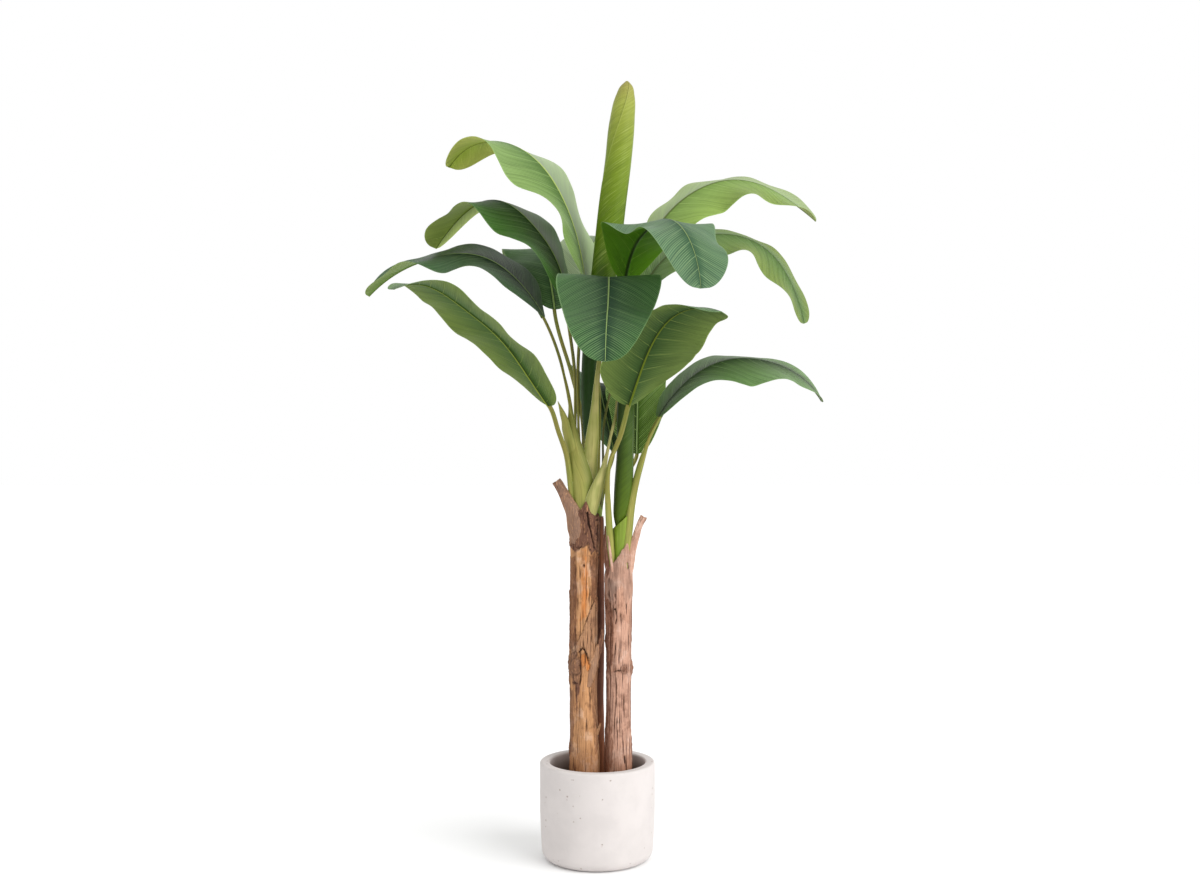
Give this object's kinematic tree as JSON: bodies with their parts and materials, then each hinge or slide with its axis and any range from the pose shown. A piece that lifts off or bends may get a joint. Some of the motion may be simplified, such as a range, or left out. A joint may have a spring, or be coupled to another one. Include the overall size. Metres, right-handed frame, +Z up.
{
  "type": "potted banana plant",
  "caption": "Banana plant in a round cement pot, with slender bark-covered trunks, arching waved leaves and a tall leaf still rolled up.",
  "frame": {"origin": "centre of the pot's flat foot", "axes": "+Z up, -Y towards the front of the plant, the side the picture shows"},
  "size_m": [1.1345, 1.0791, 1.8],
  "materials": {
    "cement": "matt cast cement",
    "soil": "loose compost",
    "bark": "rough fibrous bark",
    "dark_bark": "smooth dark bark",
    "sheath": "satin",
    "leaf_fresh": "satin",
    "leaf_dark": "satin",
    "leaf_blue": "satin",
    "leaf_olive": "satin",
    "young_leaf": "satin",
    "deep_leaf": "satin"
  },
  "bodies": {
    "root": {"pot": "cement", "soil": "soil", "trunk_left": "bark", "trunk_right": "bark", "trunk_back": "dark_bark", "crown_left": "sheath", "crown_right": "sheath", "crown_back": "sheath", "leaf_left_top": "leaf_fresh", "leaf_right_top": "leaf_fresh", "leaf_rear": "leaf_fresh", "leaf_left_upper": "leaf_dark", "leaf_left_rear": "leaf_dark", "leaf_front_middle": "leaf_dark", "leaf_left_middle": "leaf_blue", "leaf_front_upper": "leaf_blue", "leaf_right_upper": "leaf_blue", "leaf_right_lower": "leaf_blue", "leaf_left_lower": "leaf_olive", "leaf_front_lower": "leaf_olive", "leaf_rear_lower_left": "leaf_dark", "leaf_rear_lower_right": "leaf_dark", "rolled_leaf_tall": "young_leaf", "rolled_leaf_low": "deep_leaf"}
  },
  "joints": []
}
